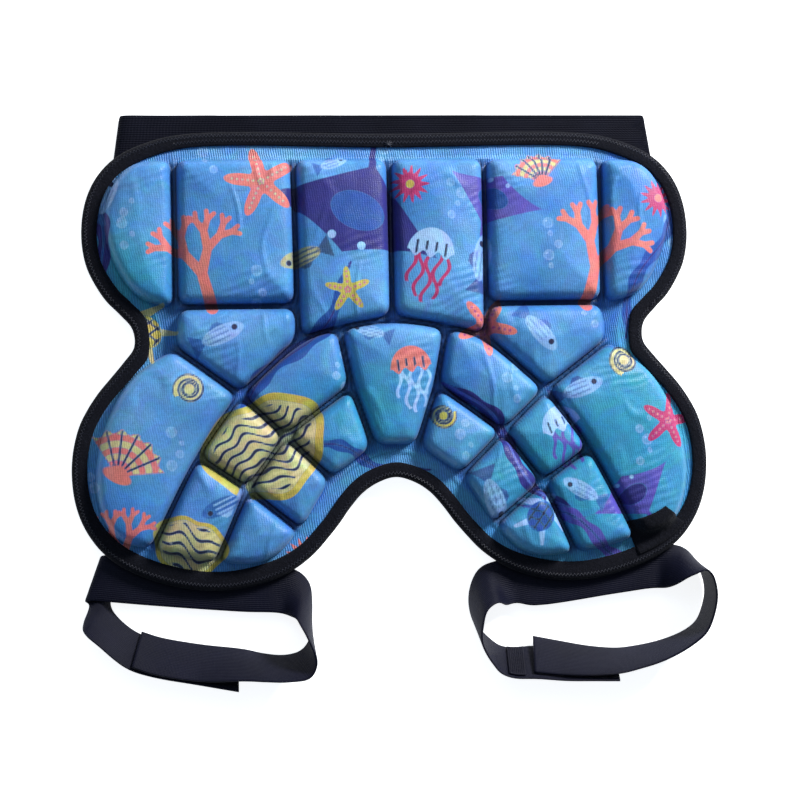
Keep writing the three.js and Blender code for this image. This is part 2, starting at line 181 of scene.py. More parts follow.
def plus(tree, base, value, gain):
    """A base plus a value times a gain."""
    return math_node(tree, "ADD", base, math_node(tree, "MULTIPLY", value, gain))


def mix_colour(tree, factor, a, b, blend="MIX"):
    """Blends two colours, each a constant or another node's output."""
    node = add(tree, "ShaderNodeMix", {"Factor": factor}, data_type="RGBA", blend_type=blend)
    for name, value in (("A", a), ("B", b)):
        socket = next(s for s in node.inputs if s.name == name and s.type == "RGBA")
        if isinstance(value, bpy.types.NodeSocket):
            tree.links.new(value, socket)
        else:
            socket.default_value = (*value, 1)
    return next(s for s in node.outputs if s.type == "RGBA")


def scaled(tree, value, gain, offset, clamp=True):
    """A value times a gain plus an offset, held between 0 and 1 unless told otherwise."""
    inputs = {0: value, 1: gain, 2: offset}
    return add(tree, "ShaderNodeMath", inputs, operation="MULTIPLY_ADD", use_clamp=clamp).outputs[0]


def noise_node(tree, place, scale, detail):
    return add(tree, "ShaderNodeTexNoise", {"Vector": place, "Scale": scale, "Detail": detail}).outputs["Fac"]


def waves(tree, coordinate, pitch):
    """A sine along one coordinate, from -1 to 1."""
    return math_node(tree, "SINE", math_node(tree, "MULTIPLY", coordinate, 2 * math.pi / pitch))


def bump(tree, shader, height, distance):
    node = add(tree, "ShaderNodeBump", {"Height": height, "Distance": distance, "Strength": 1.0})
    tree.links.new(node.outputs[0], shader.inputs["Normal"])


def set_inputs(shader, **values):
    """Sets the shader's own sockets, with underscores for the spaces in their names."""
    for key, value in values.items():
        shader.inputs[key.replace("_", " ")].default_value = value


def separate(tree, vector):
    return add(tree, "ShaderNodeSeparateXYZ", {0: vector}).outputs


def stored(tree, name):
    """The three numbers stored at each vertex under a name."""
    return separate(tree, add(tree, "ShaderNodeAttribute", attribute_name=name).outputs["Vector"])


def object_place(tree):
    return add(tree, "ShaderNodeTexCoord").outputs["Object"]


# The print's colours, in the order in which they are laid over the water.
INKS = {
    "deep": (0.014, 0.065, 0.28),
    "navy": (0.024, 0.024, 0.17),
    "violet": (0.08, 0.07, 0.35),
    "cream": (0.47, 0.42, 0.20),
    "yellow": (0.42, 0.35, 0.07),
    "coral": (0.56, 0.15, 0.14),
    "magenta": (0.36, 0.03, 0.12),
    "pale": (0.25, 0.42, 0.68),
    "ink": (0.016, 0.018, 0.055),
}
WATER_LIGHT = (0.09, 0.275, 0.53)
WATER_MID = (0.03, 0.155, 0.42)
WATER_TEAL = (0.028, 0.24, 0.40)
# Painted shade in the grooves: the colour that the groove floors are darkened towards.
GROOVE_PAINTED_SHADE = (0.05, 0.055, 0.09)
# Painted shade on the cells' lower walls: the deep blue that they are tinted towards.
WALL_PAINTED_SHADE = (0.22, 0.42, 0.78)
EDGE_SOFTNESS = 0.7


def printed_inks(tree, colour):
    """Lays each ink over a colour, where the ink's stored field is above zero."""
    names = list(INKS)
    for group in range(3):
        for name, field in zip(names[group * 3:group * 3 + 3], stored(tree, f"print_{group}")):
            share = scaled(tree, field, 1 / EDGE_SOFTNESS, 0.5)
            colour = mix_colour(tree, share, colour, INKS[name])
    return colour


def knit_ribs(tree, x, y, place):
    """The knit's ribs, which run up the pad with a slight lean and sway."""
    leaning = plus(tree, x, y, RIB_SLANT)
    return waves(tree, plus(tree, leaning, noise_node(tree, place, 38, 3), RIB_SWAY), RIB_PITCH)


def printed_fabric():
    """A fine rib knit with a print in layers, whose outlines are fields stored on the mesh, with painted
    shade in the grooves and on the cells' lower walls.
    """
    material, tree, shader = new_material("printed_fabric")
    place = object_place(tree)
    x, y, _ = separate(tree, place)
    # Stored at each vertex: the print's share of teal, then painted shade for the groove floors and for the
    # cells' lower walls.
    teal, depth, painted_wall_shade = stored(tree, "print_teal_and_painted_shade")
    stretch, _, _ = stored(tree, "knit_stretch")

    tide = scaled(tree, noise_node(tree, place, 16, 4), 2.6, -0.8)
    water = mix_colour(tree, tide, WATER_MID, WATER_LIGHT)
    colour = printed_inks(tree, mix_colour(tree, teal, water, WATER_TEAL))
    strokes = {"Vector": place, "Scale": 85.0, "Detail": 6.0, "Distortion": 0.7}
    brush = add(tree, "ShaderNodeTexNoise", strokes)
    colour = mix_colour(tree, 0.36, colour, brush.outputs["Color"], "OVERLAY")

    # The yarn takes the ink unevenly, and shows paler between the ribs where the knit is stretched.
    ribs = knit_ribs(tree, x, y, place)
    open_ribs = math_node(tree, "MULTIPLY", ribs, stretch)
    fade = scaled(tree, noise_node(tree, place, 520, 3), 0.5, 0.72, clamp=False)
    fade = plus(tree, fade, open_ribs, 0.2)
    grey = add(tree, "ShaderNodeCombineColor", {0: fade, 1: fade, 2: fade}).outputs[0]
    colour = mix_colour(tree, 1.0, colour, grey, "MULTIPLY")
    # Painted shade: the cells' lower walls are tinted deep blue.
    colour = mix_colour(tree, painted_wall_shade, colour, WALL_PAINTED_SHADE, "MULTIPLY")
    # Painted shade: the groove floors and the foot of each cell are darkened towards near black.
    colour = mix_colour(tree, depth, colour, GROOVE_PAINTED_SHADE, "MULTIPLY")
    tree.links.new(colour, shader.inputs["Base Color"])

    loops = waves(tree, plus(tree, y, ribs, 0.2 * MM), 0.8 * RIB_PITCH)
    knit = math_node(tree, "MULTIPLY", plus(tree, ribs, loops, 0.5), 0.6)
    knit = plus(tree, knit, noise_node(tree, place, 900, 3), 2.6)
    bump(tree, shader, plus(tree, knit, open_ribs, 1.5), KNIT_RELIEF)
    set_inputs(shader, Roughness=0.46, Specular_IOR_Level=0.3, Sheen_Weight=0.1, Sheen_Roughness=0.4)
    return material


def woven(name, colour, pitch, depth=0.09 * MM, roughness=0.72, gloss=0.12):
    """Ribbed elastic or webbing. The ribs run along the tape, by the mesh's UVs, which are in metres."""
    material, tree, shader = new_material(name)
    coordinates = add(tree, "ShaderNodeTexCoord").outputs
    along, across, _ = separate(tree, coordinates["UV"])
    ribs = waves(tree, across, pitch)
    picks = waves(tree, along, 0.7 * pitch)
    fuzz = noise_node(tree, coordinates["Object"], 1300, 3)
    weave = plus(tree, ribs, picks, 0.45)
    bump(tree, shader, plus(tree, weave, fuzz, 1.6), depth)
    worn = scaled(tree, noise_node(tree, coordinates["Object"], 40, 6), 2.0, -0.7)
    raised = scaled(tree, ribs, 0.25, 0.3)
    share = math_node(tree, "MULTIPLY", worn, raised)
    lighter = tuple(3 * c + 0.003 for c in colour)
    tree.links.new(mix_colour(tree, share, colour, lighter), shader.inputs["Base Color"])
    set_inputs(shader, Roughness=roughness, Specular_IOR_Level=gloss, Sheen_Weight=0.03, Sheen_Roughness=0.5,
               Sheen_Tint=(0.45, 0.5, 1, 1))
    return material


def brushed_tape():
    """The binding's brushed stretch tape: short pile over a fine knit."""
    material, tree, shader = new_material("binding")
    place = object_place(tree)
    pile = noise_node(tree, place, 1500, 4)
    clumps = noise_node(tree, place, 420, 3)
    bump(tree, shader, plus(tree, pile, clumps, 1.3), 0.5 * MM)
    lint = scaled(tree, pile, 3.0, -1.5)
    colour = mix_colour(tree, lint, (0.0022, 0.0024, 0.005), (0.013, 0.014, 0.024))
    tree.links.new(colour, shader.inputs["Base Color"])
    set_inputs(shader, Roughness=0.85, Specular_IOR_Level=0.07, Sheen_Weight=0.035, Sheen_Roughness=0.6)
    return material


def plain_thread():
    """Dark twisted thread."""
    material, tree, shader = new_material("thread")
    twist = noise_node(tree, object_place(tree), 2500, 2)
    colour = mix_colour(tree, twist, (0.006, 0.006, 0.012), (0.04, 0.042, 0.06))
    tree.links.new(colour, shader.inputs["Base Color"])
    bump(tree, shader, twist, 0.08 * MM)
    set_inputs(shader, Roughness=0.45, Specular_IOR_Level=0.35)
    return material


# Reading outlines from the frame


def merged(node):
    """A node's mesh with the corners at one place made one."""
    mesh = bmesh.new()
    mesh.from_mesh(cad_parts[node].data)
    bmesh.ops.remove_doubles(mesh, verts=mesh.verts, dist=1e-6)
    mesh.verts.index_update()
    mesh.verts.ensure_lookup_table()
    return mesh


def levels(node):
    """The heights of a node's corners, from the lowest up."""
    return sorted({round(v.co.z, 5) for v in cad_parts[node].data.vertices})


def outlines(node, level, axis=2):
    """The closed lines that a node's creases draw at one level, as arrays of the other two coordinates."""
    mesh = merged(node)
    kept = [i for i in range(3) if i != axis]
    beside = {}
    for edge in mesh.edges:
        flat = all(abs(v.co[axis] - level) < 2e-5 for v in edge.verts)
        if flat and len(edge.link_faces) == 2 and edge.calc_face_angle() > math.radians(2):
            a, b = (v.index for v in edge.verts)
            beside.setdefault(a, []).append(b)
            beside.setdefault(b, []).append(a)
    loops = []
    while beside:
        start = next(iter(beside))
        loop = [start]
        step = beside[start][0]
        while step != start:
            loop.append(step)
            step = next(n for n in beside[step] if n != loop[-2])
        for index in loop:
            del beside[index]
        points = np.array([mesh.verts[i].co for i in loop])[:, kept]
        turn = np.cross(points, np.roll(points, -1, axis=0)).sum()
        loops.append(points if turn > 0 else points[::-1])
    mesh.free()
    return loops


def by_length(loops):
    """Closed lines, the longest way round first."""
    return sorted(loops, key=lambda loop: -np.ptp(loop, axis=0).sum())


def rounded(points):
    """Cuts an outline's corners to a smooth curve."""
    for _ in range(2):
        after = np.roll(points, -1, axis=0)
        points = np.stack([0.75 * points + 0.25 * after, 0.25 * points + 0.75 * after], 1).reshape(-1, 2)
    return points


def distance_to(points, outline):
    """Each point's distance to a closed outline, positive inside it, and the nearest place on the outline."""
    nearest = np.zeros_like(points)
    best = np.full(len(points), np.inf)
    inside = np.zeros(len(points), bool)
    x, y = points.T
    for a, b in zip(outline, np.roll(outline, -1, axis=0)):
        along = b - a
        share = np.clip(((points - a) @ along) / max(along @ along, 1e-18), 0, 1)
        foot = a + share[:, None] * along
        gap = np.hypot(*(points - foot).T)
        closer = gap < best
        best[closer] = gap[closer]
        nearest[closer] = foot[closer]
        if a[1] != b[1]:
            crosses = (a[1] > y) != (b[1] > y)
            inside ^= crosses & (x < a[0] + (b[0] - a[0]) * (y - a[1]) / (b[1] - a[1]))
    return np.where(inside, best, -best), nearest


# The print: sea creatures and plants as distance fields, in millimetres, positive inside. A motif gives
# its parts in the order in which they are printed, and nearly every number in it is a share of its size.


def capsule(x, y, start, end, start_radius, end_radius):
    """A rod between two points whose radius changes evenly."""
    (ax, ay), (bx, by) = start, end
    dx, dy = bx - ax, by - ay
    share = np.clip(((x - ax) * dx + (y - ay) * dy) / (dx * dx + dy * dy), 0, 1)
    radius = start_radius + share * (end_radius - start_radius)
    return radius - np.hypot(x - ax - share * dx, y - ay - share * dy)


def ellipse(x, y, centre, across, up):
    reach = np.hypot((x - centre[0]) / across, (y - centre[1]) / up)
    return (1 - reach) * min(across, up)


def ruled(coordinate, pitch, half_width):
    """Evenly spaced lines across one coordinate."""
    return half_width - pitch * np.abs((coordinate / pitch) % 1 - 0.5)


def star(x, y, size):
    reach = np.hypot(x, y)
    from_arm = ((np.arctan2(x, y) * 2.5 / math.pi + 0.5) % 1 - 0.5) * 0.4 * math.pi
    body = (size * (0.34 + 0.66 * (0.5 + 0.5 * np.cos(5 * from_arm)) ** 1.7) - reach) * 0.75
    aside = reach * np.sin(from_arm)
    beads = 0.9 - np.hypot(aside, 3.4 * ((reach / 3.4) % 1 - 0.5))
    return [("body", body), ("second", np.minimum(beads, 0.82 * size - reach))]


def scallop(x, y, size):
    reach, lean = np.hypot(x, y + 0.5 * size), np.arctan2(x, y + 0.5 * size)
    fan = np.minimum(size * (1.05 + 0.05 * np.cos(lean * 18)) - reach, (1.05 - np.abs(lean)) * reach)
    hinge = ellipse(x, y, (0, -0.5 * size), 0.36 * size, 0.16 * size)
    bands = ruled(reach, 0.3 * size, 0.08 * size)
    ribs = 0.62 - reach * 0.35 * np.abs((lean / 0.35 + 0.5) % 1 - 0.5)
    inside = np.minimum(fan - 0.6, reach - 0.25 * size)
    shell = np.maximum(fan, hinge)
    return [("body", shell), ("second", np.minimum(bands, inside)), ("line", np.minimum(ribs, inside))]


def jellyfish(x, y, size):
    bell = np.minimum(ellipse(x, y, (0, 0), 0.62 * size, 0.7 * size), y + 0.08 * size * np.cos(x * 16 / size))
    arms = np.full_like(x, -9.0)
    for k in range(-2, 3):
        sway = 0.09 * size * np.sin(y * 7 / size + 1.7 * k)
        arm = 0.035 * size + 0.35 - np.abs(x - 0.22 * k * size - sway)
        arms = np.maximum(arms, np.minimum(arm, np.minimum(0.1 * size - y, y + size * (1.25 - 0.12 * k * k))))
    frill = np.minimum(ruled(x, 0.25 * size, 0.03 * size), bell - 1.6)
    return [("second", arms), ("body", bell), ("line", np.minimum(frill, 0.35 * size - y))]


def ray(x, y, size):
    wing = np.clip(1 - np.abs(x) / size, 0, 1)
    body = (0.5 * size * wing ** 1.25 - np.abs(y - 0.2 * size * (np.abs(x) / size) ** 1.6)) * 0.8
    tail = capsule(x, y, (0, -0.4 * size), (0.16 * size, -1.15 * size), 0.045 * size, 0.4)
    belly = ellipse(x, y, (0, 0.02 * size), 0.3 * size, 0.2 * size)
    eyes = 0.045 * size - np.hypot(np.abs(x) - 0.17 * size, y - 0.36 * size)
    return [("body", np.maximum(body, tail)), ("second", belly), ("spot", eyes)]


def turtle(x, y, size):
    limbs = ellipse(x, y, (0, 0.62 * size), 0.14 * size, 0.2 * size)
    for hip, tip, width in (((0.3, 0.3), (0.85, 0.05), 0.13), ((0.25, -0.35), (0.5, -0.7), 0.1)):
        limb = capsule(np.abs(x), y, np.array(hip) * size, np.array(tip) * size, width * size, 0.05 * size)
        limbs = np.maximum(limbs, limb)
    shell = ellipse(x, y, (0, 0), 0.42 * size, 0.5 * size)
    pitch = 0.27 * size
    plates = np.maximum(ruled(x + 0.12 * size, pitch, 0.6), ruled(y + 0.3 * np.abs(x), pitch, 0.6))
    return [("second", limbs), ("body", shell), ("line", np.minimum(plates, shell - 0.8))]


def kelp(x, y, size):
    stem = x - 0.09 * size * np.sin(y * 4.2 / size)
    taper = np.sqrt(np.clip(1 - (y / size) ** 2, 0, 1))
    leaf = size * (0.075 + 0.02 * np.cos(y * 17 / size)) * taper - np.abs(stem)
    leaf = np.minimum(leaf, size - np.abs(y))
    return [("body", leaf), ("second", np.minimum(0.7 - np.abs(stem), leaf))]


def coral(x, y, size):
    field = np.full_like(x, -9.0)
    tips = [((0, -0.6 * size), math.pi / 2, 0.5 * size)]
    for level in range(5):
        grown = []
        for (ax, ay), heading, length in tips:
            end = (ax + length * math.cos(heading), ay + length * math.sin(heading))
            radius = size * (0.085 - 0.012 * level)
            field = np.maximum(field, capsule(x, y, (ax, ay), end, radius, radius * 0.85))
            for turn in (-0.52, 0.44):
                grown.append((end, heading + turn, length * 0.7))
        tips = grown
    return [("body", field)]


def brain_coral(x, y, size):
    reach, angle = np.hypot(x, y * 1.25), np.arctan2(y, x)
    body = size * (0.92 + 0.06 * np.sin(3 * angle) + 0.03 * np.sin(7 * angle)) - reach
    folds = ruled(y + 3.2 * np.sin(x / 6.5) + 1.6 * np.sin(x / 2.9 + y / 9), 6.2, 0.85)
    return [("second", body), ("body", body - 0.13 * size), ("line", np.minimum(folds, body - 0.2 * size))]


def urchin(x, y, size):
    reach, angle = np.hypot(x, y), np.arctan2(y, x)
    body = (size * (0.55 + 0.45 * (0.5 + 0.5 * np.cos(13 * angle)) ** 2) - reach) * 0.6
    return [("body", body), ("second", 0.22 * size - reach)]


def spiral(x, y, size):
    reach, angle = np.hypot(x, y), np.arctan2(y, x)
    outer = size * (0.72 + 0.28 * (angle + math.pi) / (2 * math.pi)) - reach
    whorl = np.log(np.maximum(reach, 1e-3) / size) / 0.42 - angle / (2 * math.pi)
    turns = 0.6 - reach * 0.42 * np.abs(whorl % 1 - 0.5)
    return [("body", outer), ("line", np.minimum(turns, np.minimum(outer, reach - 0.3 * size)))]


def little_fish(x, y, size):
    body = ellipse(x, y, (0.08 * size, 0), 0.56 * size, 0.23 * size)
    behind = -0.42 * size - x
    tail = np.minimum(0.05 * size + 0.75 * behind - np.abs(y), 0.36 * size - behind)
    fin = np.minimum(0.42 * size - np.abs(x) - y, np.minimum(y - 0.12 * size, 0.34 * size - y))
    stripes = np.minimum(ruled(y + 0.05 * size, 0.13 * size, 0.55), np.minimum(body - 0.4, 0.25 * size - x))
    eye = 0.075 * size - np.hypot(x - 0.42 * size, y - 0.04 * size)
    faint = 0.16
    parts = [("second", np.maximum(tail, fin) * 0.8), ("body", body), ("second", stripes)]
    return [(part, np.minimum(field, faint)) for part, field in parts] + [("line", eye)]


def bubble(x, y, size):
    """A clear bubble. A field held below zero prints only a part of its ink."""
    reach = np.hypot(x, y)
    rim = 0.5 - np.abs(reach - size)
    glint = 0.22 * size - np.hypot(x + 0.4 * size, y - 0.4 * size)
    clear = np.minimum(0.5 * (size - reach), -0.17)
    return [("body", clear), ("body", np.minimum(rim, -0.02)), ("body", glint)]


# A motif, its place (mm), its turn (degrees), its size (mm) and its two inks. Later ones lie on top.
PRINT = [
    (kelp, -186, 92, 12, 62, "navy", "deep"),
    (kelp, -66, 30, -38, 70, "deep", "navy"),
    (kelp, 172, 92, -22, 58, "deep", "navy"),
    (kelp, 74, -34, 40, 62, "navy", "violet"),
    (kelp, 128, -92, 62, 55, "violet", "navy"),
    (kelp, -22, -38, 75, 46, "deep", "navy"),
    (ray, -22, 122, 158, 60, "navy", "deep"),
    (ray, 66, 128, -24, 33, "violet", "deep"),
    (ray, 154, -66, 34, 30, "violet", "navy"),
    (brain_coral, -84, -30, 24, 44, "cream", "yellow"),
    (brain_coral, -134, -92, -20, 26, "cream", "yellow"),
    (coral, -124, 86, 16, 46, "coral", "magenta"),
    (coral, 134, 88, -14, 50, "coral", "magenta"),
    (coral, -176, -92, 8, 34, "coral", "magenta"),
    (scallop, -172, -34, -28, 27, "coral", "cream"),
    (scallop, 96, 148, 18, 19, "coral", "cream"),
    (star, -84, 140, 12, 24, "coral", "cream"),
    (star, 60, 46, 40, 20, "coral", "magenta"),
    (star, 178, -18, -12, 19, "magenta", "coral"),
    (star, -30, 70, 4, 15, "yellow", "coral"),
    (urchin, 12, 138, 0, 13, "magenta", "yellow"),
    (urchin, 176, 128, 0, 13, "magenta", "coral"),
    (urchin, -60, -100, 0, 13, "coral", "yellow"),
    (jellyfish, 10, 18, 8, 22, "coral", "pale"),
    (jellyfish, 24, 92, -10, 25, "pale", "magenta"),
    (jellyfish, 108, -22, 20, 22, "pale", "violet"),
    (turtle, -160, 46, 50, 24, "yellow", "cream"),
    (turtle, 92, -78, -35, 21, "deep", "pale"),
    (spiral, -132, 8, 30, 11, "cream", "yellow"),
    (spiral, 150, 22, 80, 11, "cream", "coral"),
    (spiral, 30, -12, 200, 9, "yellow", "coral"),
    (little_fish, -112, 42, 24, 25, "pale", "deep"),
    (little_fish, -58, 92, 200, 24, "yellow", "ink"),
    (little_fish, 58, 88, 80, 27, "pale", "navy"),
    (little_fish, 94, 42, -50, 25, "pale", "deep"),
    (little_fish, -16, 44, 160, 19, "pale", "deep"),
    (little_fish, -182, 132, 66, 22, "pale", "deep"),
    (little_fish, 120, 4, 20, 24, "pale", "navy"),
    (little_fish, -112, -66, 205, 23, "deep", "pale"),
    (little_fish, 62, -66, -70, 27, "pale", "navy"),
    (little_fish, 120, -62, 150, 22, "pale", "deep"),
    (little_fish, -38, 152, 20, 16, "pale", "deep"),
    (little_fish, 186, 60, 110, 21, "pale", "deep"),
]
# Strings of bubbles: where each starts, and how many rise from it.
BUBBLES = [(-118, 148, 5), (-170, 100, 5), (42, 118, 4), (104, 84, 5), (-88, 62, 4),
           (76, -2, 5), (162, -44, 5), (-196, -60, 4), (-36, 8, 4), (128, 46, 4),
           (-6, 156, 3), (184, 100, 4), (-140, -40, 4), (44, -38, 4)]
# Where the water turns to teal, and how far round.
TEAL = [(150, -48, 52), (96, -56, 46), (176, 6, 38), (-172, 78, 36), (-20, -10, 34)]


def print_fields(x, y):
    """Every ink's field at the given places (mm), and the share of teal."""
    fields = {name: np.full(len(x), -9.0) for name in INKS}

    def stamp(motif, at_x, at_y, turn, size, inks):
        close = np.hypot(x - at_x, y - at_y) < 1.7 * size
        c, s = math.cos(math.radians(turn)), math.sin(math.radians(turn))
        dx, dy = x[close] - at_x, y[close] - at_y
        names = {"body": inks[0], "second": inks[1], "line": "ink", "spot": "pale"}
        for part, field in motif(c * dx + s * dy, c * dy - s * dx, size):
            for ink in fields.values():
                ink[close] = np.minimum(ink[close], -field)
            layer = fields[names[part]]
            layer[close] = np.maximum(layer[close], field)

    for at_x, at_y, count in BUBBLES:
        for i in range(count):
            aside = 4 * math.sin(2.1 * i + at_x)
            size = 1.5 + 0.8 * ((i * 5 + at_y) % 3)
            stamp(bubble, at_x + aside, at_y + 7 * i, 0, size, ("pale", "pale"))
    for motif, at_x, at_y, turn, size, *inks in PRINT:
        stamp(motif, at_x, at_y, turn, size, inks)
    teal = sum(np.exp(-((x - cx) ** 2 + (y - cy) ** 2) / r ** 2) for cx, cy, r in TEAL)
    return fields, np.clip(teal, 0, 1)


def attach(mesh, name, *columns):
    """Stores three numbers a vertex."""
    layer = mesh.attributes.new(name, "FLOAT_VECTOR", "POINT")
    layer.data.foreach_set("vector", np.stack(columns, 1).astype(np.float32).ravel())


# The padded cover


def cover_grid(outline):
    """A square grid inside an outline, with its border drawn out to the outline."""
    low, high = outline.min(0), outline.max(0)
    counts = np.ceil((high - low) / GRID_STEP).astype(int) + 1
    xs, ys = (low[i] + np.arange(counts[i]) * GRID_STEP for i in (0, 1))
    grid = np.stack(np.meshgrid(xs, ys), -1).reshape(-1, 2)
    gap, nearest = distance_to(grid, outline)
    inside = (gap > 0.25 * GRID_STEP).reshape(len(ys), len(xs))
    whole = inside[:-1, :-1] & inside[1:, :-1] & inside[:-1, 1:] & inside[1:, 1:]
    rows, columns = np.nonzero(whole)
    corner = rows * len(xs) + columns
    quads = np.stack([corner, corner + 1, corner + 1 + len(xs), corner + len(xs)], 1)
    used, quads = np.unique(quads, return_inverse=True)
    quads = quads.reshape(-1, 4)
    uses = np.bincount(quads.ravel(), minlength=len(used))
    border = uses < 4
    points = grid[used]
    points[border] = nearest[used][border]
    return points, quads, border


def nearest_cell(points, cells):
    """The signed distances to the nearest and the next cell's outline, and the nearest place."""
    first = np.full(len(points), -0.05)
    second = np.full(len(points), -0.05)
    place = points.copy()
    for outline in cells:
        low, high = outline.min(0) - 12 * MM, outline.max(0) + 12 * MM
        box = np.all((points > low) & (points < high), axis=1)
        index = np.nonzero(box)[0]
        gap, foot = distance_to(points[index], outline)
        closer = gap > first[index]
        second[index] = np.where(closer, first[index], np.maximum(second[index], gap))
        place[index[closer]] = foot[closer]
        first[index[closer]] = gap[closer]
    return first, second, place


def noise_at(points, scale, shift=0.0):
    """Smooth noise over the pad, from -1 to 1, at a scale in metres."""
    return np.array([noise.noise(Vector((x / scale, y / scale, shift))) for x, y in points])


def surface_play(points):
    """How far a cell's top departs from a smooth crown: bulges, a few creases and fine wrinkles."""
    x, y = points.T
    soft = BULGE * noise_at(points, BULGE_SIZE) + DIMPLE * noise_at(points, DIMPLE_SIZE, 3.0)
    folds = 1 - np.abs(noise_at(points * (1.0, 0.45), FOLD_SIZE, 7.0))
    soft += FOLD * smooth((folds - 0.86) / 0.14) * smooth((noise_at(points, 50 * MM, 9.0) + 0.1) / 0.5)
    swayed = y - 0.35 * x + 4 * MM * noise_at(points, 20 * MM, 11.0)
    wrinkles = WRINKLE_DEPTH * np.sin(2 * math.pi * swayed / WRINKLE_PITCH)
    return soft + wrinkles * smooth((noise_at(points, 45 * MM, 13.0) - 0.05) / 0.25)


def cover_heights(points, depth_in, next_in, seam, edge_gap):
    """The cover's height over the cells, in the grooves and on the flange, and the share of groove."""
    foot, top = levels(CELLS[0])[0], levels(CELLS[0])[-1]
    share = np.clip(depth_in / SHOULDER, 0, 1)
    swell = (1 - (1 - share) ** SHOULDER_ROUNDNESS) ** (1 / SHOULDER_ROUNDNESS)
    crown = CROWN_RISE * (1 - np.exp(-np.maximum(depth_in, 0) / CROWN_REACH))
    raised = depth_in > 0
    rise = top - 0.8 * CROWN_RISE - foot
    height = foot + raised * (swell * rise + crown + surface_play(points) * share)
    past_step = edge_gap - STEP_FROM_EDGE
    step = STEP_RISE * (smooth(past_step / STEP_WIDTH + 0.5) - 1)
    lip = STEP_LIP * np.exp(-((past_step - 0.6 * MM) / STEP_LIP_WIDTH) ** 2)
    flat = foot + step + lip + FLANGE_RIPPLE * noise_at(points, 6 * MM, 5.0)
    between = smooth(1 - (-depth_in - 1 * MM) / GROOVE_REACH) * smooth(1 - (-next_in - 2 * MM) / GROOVE_REACH)
    groove = flat + between * (SEAM_RIDGE * seam - GROOVE_DROP)
    return np.where(raised, np.maximum(height, flat), groove), between


def closed_in(points, inside, beyond, foot):
    """Grows every cell, so that the grooves are as narrow as stretched fabric leaves them."""
    near = np.abs(inside) < NEAR_A_CELL
    outward = np.where(near[:, None], (foot - points) / np.where(near, inside, 1)[:, None], 0)
    return inside + GROOVE_CLOSING, beyond + GROOVE_CLOSING, foot + GROOVE_CLOSING * outward


def drawn_to_walls(points, inside, foot, held):
    """Draws the grid to the cells' outlines, so that their walls stand steep."""
    gap = np.abs(inside)
    pull = np.where(inside > 0, WALL_PULL, 0.4 * WALL_PULL)
    drawn = gap * (1 - pull * np.exp(-gap / WALL_REACH))
    pulled = foot + (points - foot) * (drawn / np.maximum(gap, 1e-9))[:, None]
    moves = ~held & (gap < NEAR_A_CELL) & (gap > 1e-6)
    return np.where(moves[:, None], pulled, points), np.sign(inside) * drawn


def border_loop(quads, border):
    """The grid's border corners, in order round it."""
    at_border = quads[np.any(border[quads], axis=1)]
    directed = {(a, b) for quad in at_border for a, b in zip(quad, np.roll(quad, -1))}
    onward = {a: b for a, b in directed if (b, a) not in directed and border[a] and border[b]}
    loop = [next(iter(onward))]
    while onward[loop[-1]] != loop[0]:
        loop.append(onward[loop[-1]])
    return np.array(loop)


def with_back(verts, quads, loop, base):
    """A sheet's corners and faces, with a skirt down from its border and a flat back."""
    count, steps = len(verts), len(loop)
    skirt = np.column_stack([verts[loop, :2], np.full(steps, base)])
    after = np.roll(np.arange(steps), -1)
    sides = np.column_stack([loop[after], loop, count + np.arange(steps), count + after])
    back = [list(count + steps + np.arange(steps))[::-1]]
    return np.concatenate([verts, skirt, skirt]), [*quads.tolist(), *sides.tolist(), *back]


def store_print(mesh, verts, on_face):
    """Stores the inks' fields, and gives the share of teal."""
    inks, teal = print_fields(verts[:, 0] / MM, verts[:, 1] / MM)
    names = list(INKS)
    for group in range(3):
        columns = [np.where(on_face, inks[name], -9) for name in names[group * 3:group * 3 + 3]]
        attach(mesh, f"print_{group}", *columns)
    return teal


def printed_cover(material):
    """One moulded cover over the base panel and every cell."""
    base, panel_top = levels("base_panel")[0], levels("base_panel")[-1]
    outline = rounded(outlines("base_panel", panel_top)[0])
    cells = [rounded(outlines(node, levels(node)[1])[0]) for node in CELLS]
    points, quads, border = cover_grid(outline)
    inside, beyond, foot = closed_in(points, *nearest_cell(points, cells))
    seam = np.exp(-((inside - beyond) / SEAM_WIDTH) ** 2) * (inside < 0)
    points, inside = drawn_to_walls(points, inside, foot, border)
    edge_gap, _ = distance_to(points, outline)
    heights, between = cover_heights(points, inside, beyond, seam, edge_gap)
    tucked = smooth(1 - (edge_gap - UNDER_BINDING) / (2 * MM))
    heights = np.minimum(heights, heights * (1 - tucked) + (panel_top - 0.1 * MM) * tucked)

    loop = border_loop(quads, border)
    top = np.column_stack([points, heights])
    verts, faces = with_back(top, quads, loop, base)
    cover = new_object("printed_cover", verts, faces)
    teal = store_print(cover.data, verts, np.arange(len(verts)) < len(top) + len(loop))
    risen = (heights - heights.min()) / np.ptp(heights)
    painted_groove_shade, painted_wall_shade, stretch = np.zeros((3, len(verts)))
    # Painted shade: the groove floors are darkened in the colour, less so on the seam ridge between cells.
    painted_groove_shade[:len(top)] = 0.95 * between * (1 - smooth((risen - 0.05) / 0.3)) * (1 - 0.45 * seam)
    past_step = smooth((edge_gap - STEP_FROM_EDGE) / (4 * MM))
    # Painted shade: the lower walls of the cells, away from the flange, are tinted deep blue in the colour.
    painted_wall_shade[:len(top)] = 0.7 * (1 - smooth((risen - 0.15) / 0.6)) * past_step
    stretch[:len(top)] = (inside < 0) * (1 - between)
    attach(cover.data, "print_teal_and_painted_shade", teal, painted_groove_shade, painted_wall_shade)
    attach(cover.data, "knit_stretch", stretch, stretch, stretch)
    return finish_piece(cover, "printed_fabric", material, "base_panel", *CELLS), top, quads.tolist()


# The binding


def matched(points, partner):
    """A loop turned so that each of its points lies beside the partner loop's."""
    start = np.argmin(np.hypot(*(points - partner[0]).T))
    return np.roll(points, -start, axis=0)


